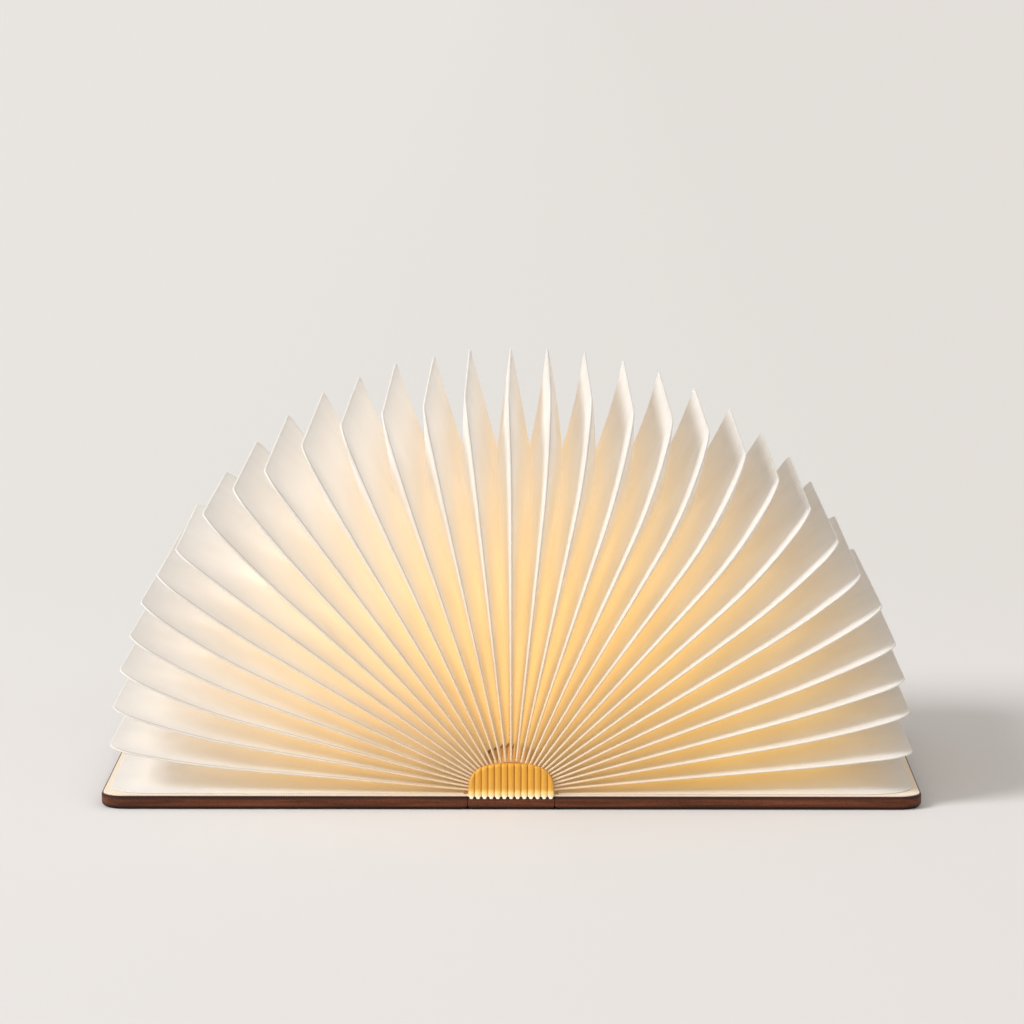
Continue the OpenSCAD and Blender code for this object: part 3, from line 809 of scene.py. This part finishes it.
def leaf_point(leaf, out, along, depth):
    """The same for a leaf's own plane."""
    return plane_point(leaf.hinge, leaf.angle, leaf.side, out, along, depth)


def leaf_direction(leaf, out, along):
    """A direction given by a leaf's plane: out from it, and along it away from the hinge."""
    return plane_point(Vector((0, 0)), leaf.angle, leaf.side, out, along, 0)


def wall_point(f, share, rim_off, leaf, near, rim):
    """How far a point of a page's wall is in from its outline, and the point, which goes from the
    rim at share 0 to the valley that it shares with near at 1."""
    inset = rim + (FOLD_DEPTH - rim) * share
    t, depth = outline(f, inset, leaf)
    flat = leaf_point(leaf, curl(leaf, t, depth), t, depth)
    t, depth = outline(f, FOLD_DEPTH, leaf)
    foot = leaf_point(leaf, curl(leaf, t, depth), t, depth)
    t, depth = outline(f, FOLD_DEPTH, leaf, near)
    off = (curl(leaf, t, depth) + curl(near, t, depth)) / 2
    valley = plane_point((leaf.hinge + near.hinge) / 2, (leaf.angle + near.angle) / 2,
                         leaf.side, off, t, depth)
    return inset, flat + leaf_direction(leaf, rim_off, 0) * (1 - share) + (valley - foot) * share


def page(name, leaf, inner, outer):
    """A page round leaf, whose walls meet those of inner and outer. The middle page has no inner
    neighbour and the end page no outer one. Row k is 0 on the rim's crest, below 0 on the inner
    side and above 0 on the outer side."""
    first = -(RIM_STEPS + WALL_STEPS) if inner else 0
    last = RIM_STEPS + (WALL_STEPS if outer else TUCK_STEPS)
    steps = 2 * (EDGE_STEPS + ARC_STEPS + LEG_STEPS)
    mesh = bmesh.new()
    bmesh.ops.create_grid(mesh, x_segments=steps, y_segments=last - first, size=1)
    reach_layer = mesh.verts.layers.float.new("reach")
    inset_layer = mesh.verts.layers.float.new("inset")
    lee_layer = mesh.verts.layers.float.new("lee")
    for v in mesh.verts:
        f = v.co.x
        k = first + round((v.co.y + 1) / 2 * (last - first))
        t, depth = outline(f, 0, leaf)
        rim = RIM_NEAR + (RIM_FAR - RIM_NEAR) * min(1, t / RIM_GROWS)
        lift = 0.0
        if leaf.end:
            rim *= END_RIM
            lift = END_TOP - rim
        if abs(k) <= RIM_STEPS:
            turn = math.pi / 2 * k / RIM_STEPS
            inset = rim * (1 - math.cos(turn))
            t, depth = outline(f, inset, leaf)
            off = rim * math.sin(turn) + lift + curl(leaf, t, depth)
            v.co = leaf_point(leaf, off, t, depth)
        elif leaf.end and k > 0:
            inset = rim + END_TUCK * (k - RIM_STEPS)
            t, depth = outline(f, inset, leaf)
            v.co = leaf_point(leaf, rim + lift, t, depth)
        else:
            share = ((abs(k) - RIM_STEPS) / WALL_STEPS) ** WALL_BOW
            off = (rim if k > 0 else -rim) + lift
            inset, v.co = wall_point(f, share, off, leaf, outer if k > 0 else inner, rim)
        on_leg = max(0, min(1, (abs(f) * steps / 2 - EDGE_STEPS) / ARC_STEPS))
        v[reach_layer] = math.hypot(v.co.x, v.co.z - dome_z) / FAN_REACH
        v[inset_layer] = inset / FOLD_DEPTH
        v[lee_layer] = (k > 1) if leaf.end else on_leg * max(0, min(1, leaf.side * k / RIM_STEPS))
    mesh.normal_update()
    middle = min(mesh.faces, key=lambda face: (abs(face.calc_center_median().y),
                                               -face.calc_center_median().length))
    if middle.normal.dot(leaf_direction(leaf, 0, 1)) < 0:
        bmesh.ops.reverse_faces(mesh, faces=mesh.faces)
    bmesh.ops.solidify(mesh, geom=mesh.faces[:], thickness=PAPER)
    return finished(mesh, name, paper, smooth=PAPER_SMOOTH)


for side, word in ((-1, "left"), (1, "right")):
    numbered = [f"leaf_{word}_{number:02d}" for number in range(1, PAGES + 1)]
    leaves = [Leaf("leaf_centre", side)]
    leaves += [Leaf(node, side, joints[node + "_fold"], number=number)
               for number, node in enumerate(numbered, start=1)]
    leaves.append(Leaf(word + "_end_leaf", side, end=True))
    closed = [abs(leaf.hinge.x) for leaf in leaves[:-1]]
    closed.append(closed[-1] + CLOSED_END_GAP)
    for number, leaf in enumerate(leaves):
        inner = leaves[number - 1] if number else None
        outer = leaves[number + 1] if not leaf.end else None
        if leaf.end:
            name, body, replaced = f"page_{word}_end", word + "_cover", (word + "_end_leaf",)
        elif number:
            body = numbered[number - 1]
            name, replaced = f"page_{word}_{number:02d}", (body,)
        else:
            name, body, replaced = f"page_{word}_centre", "spine", ("leaf_centre", word + "_folds")
        piece = page(name, leaf, inner, outer)
        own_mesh(piece)
        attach(piece, body)
        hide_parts(*replaced)
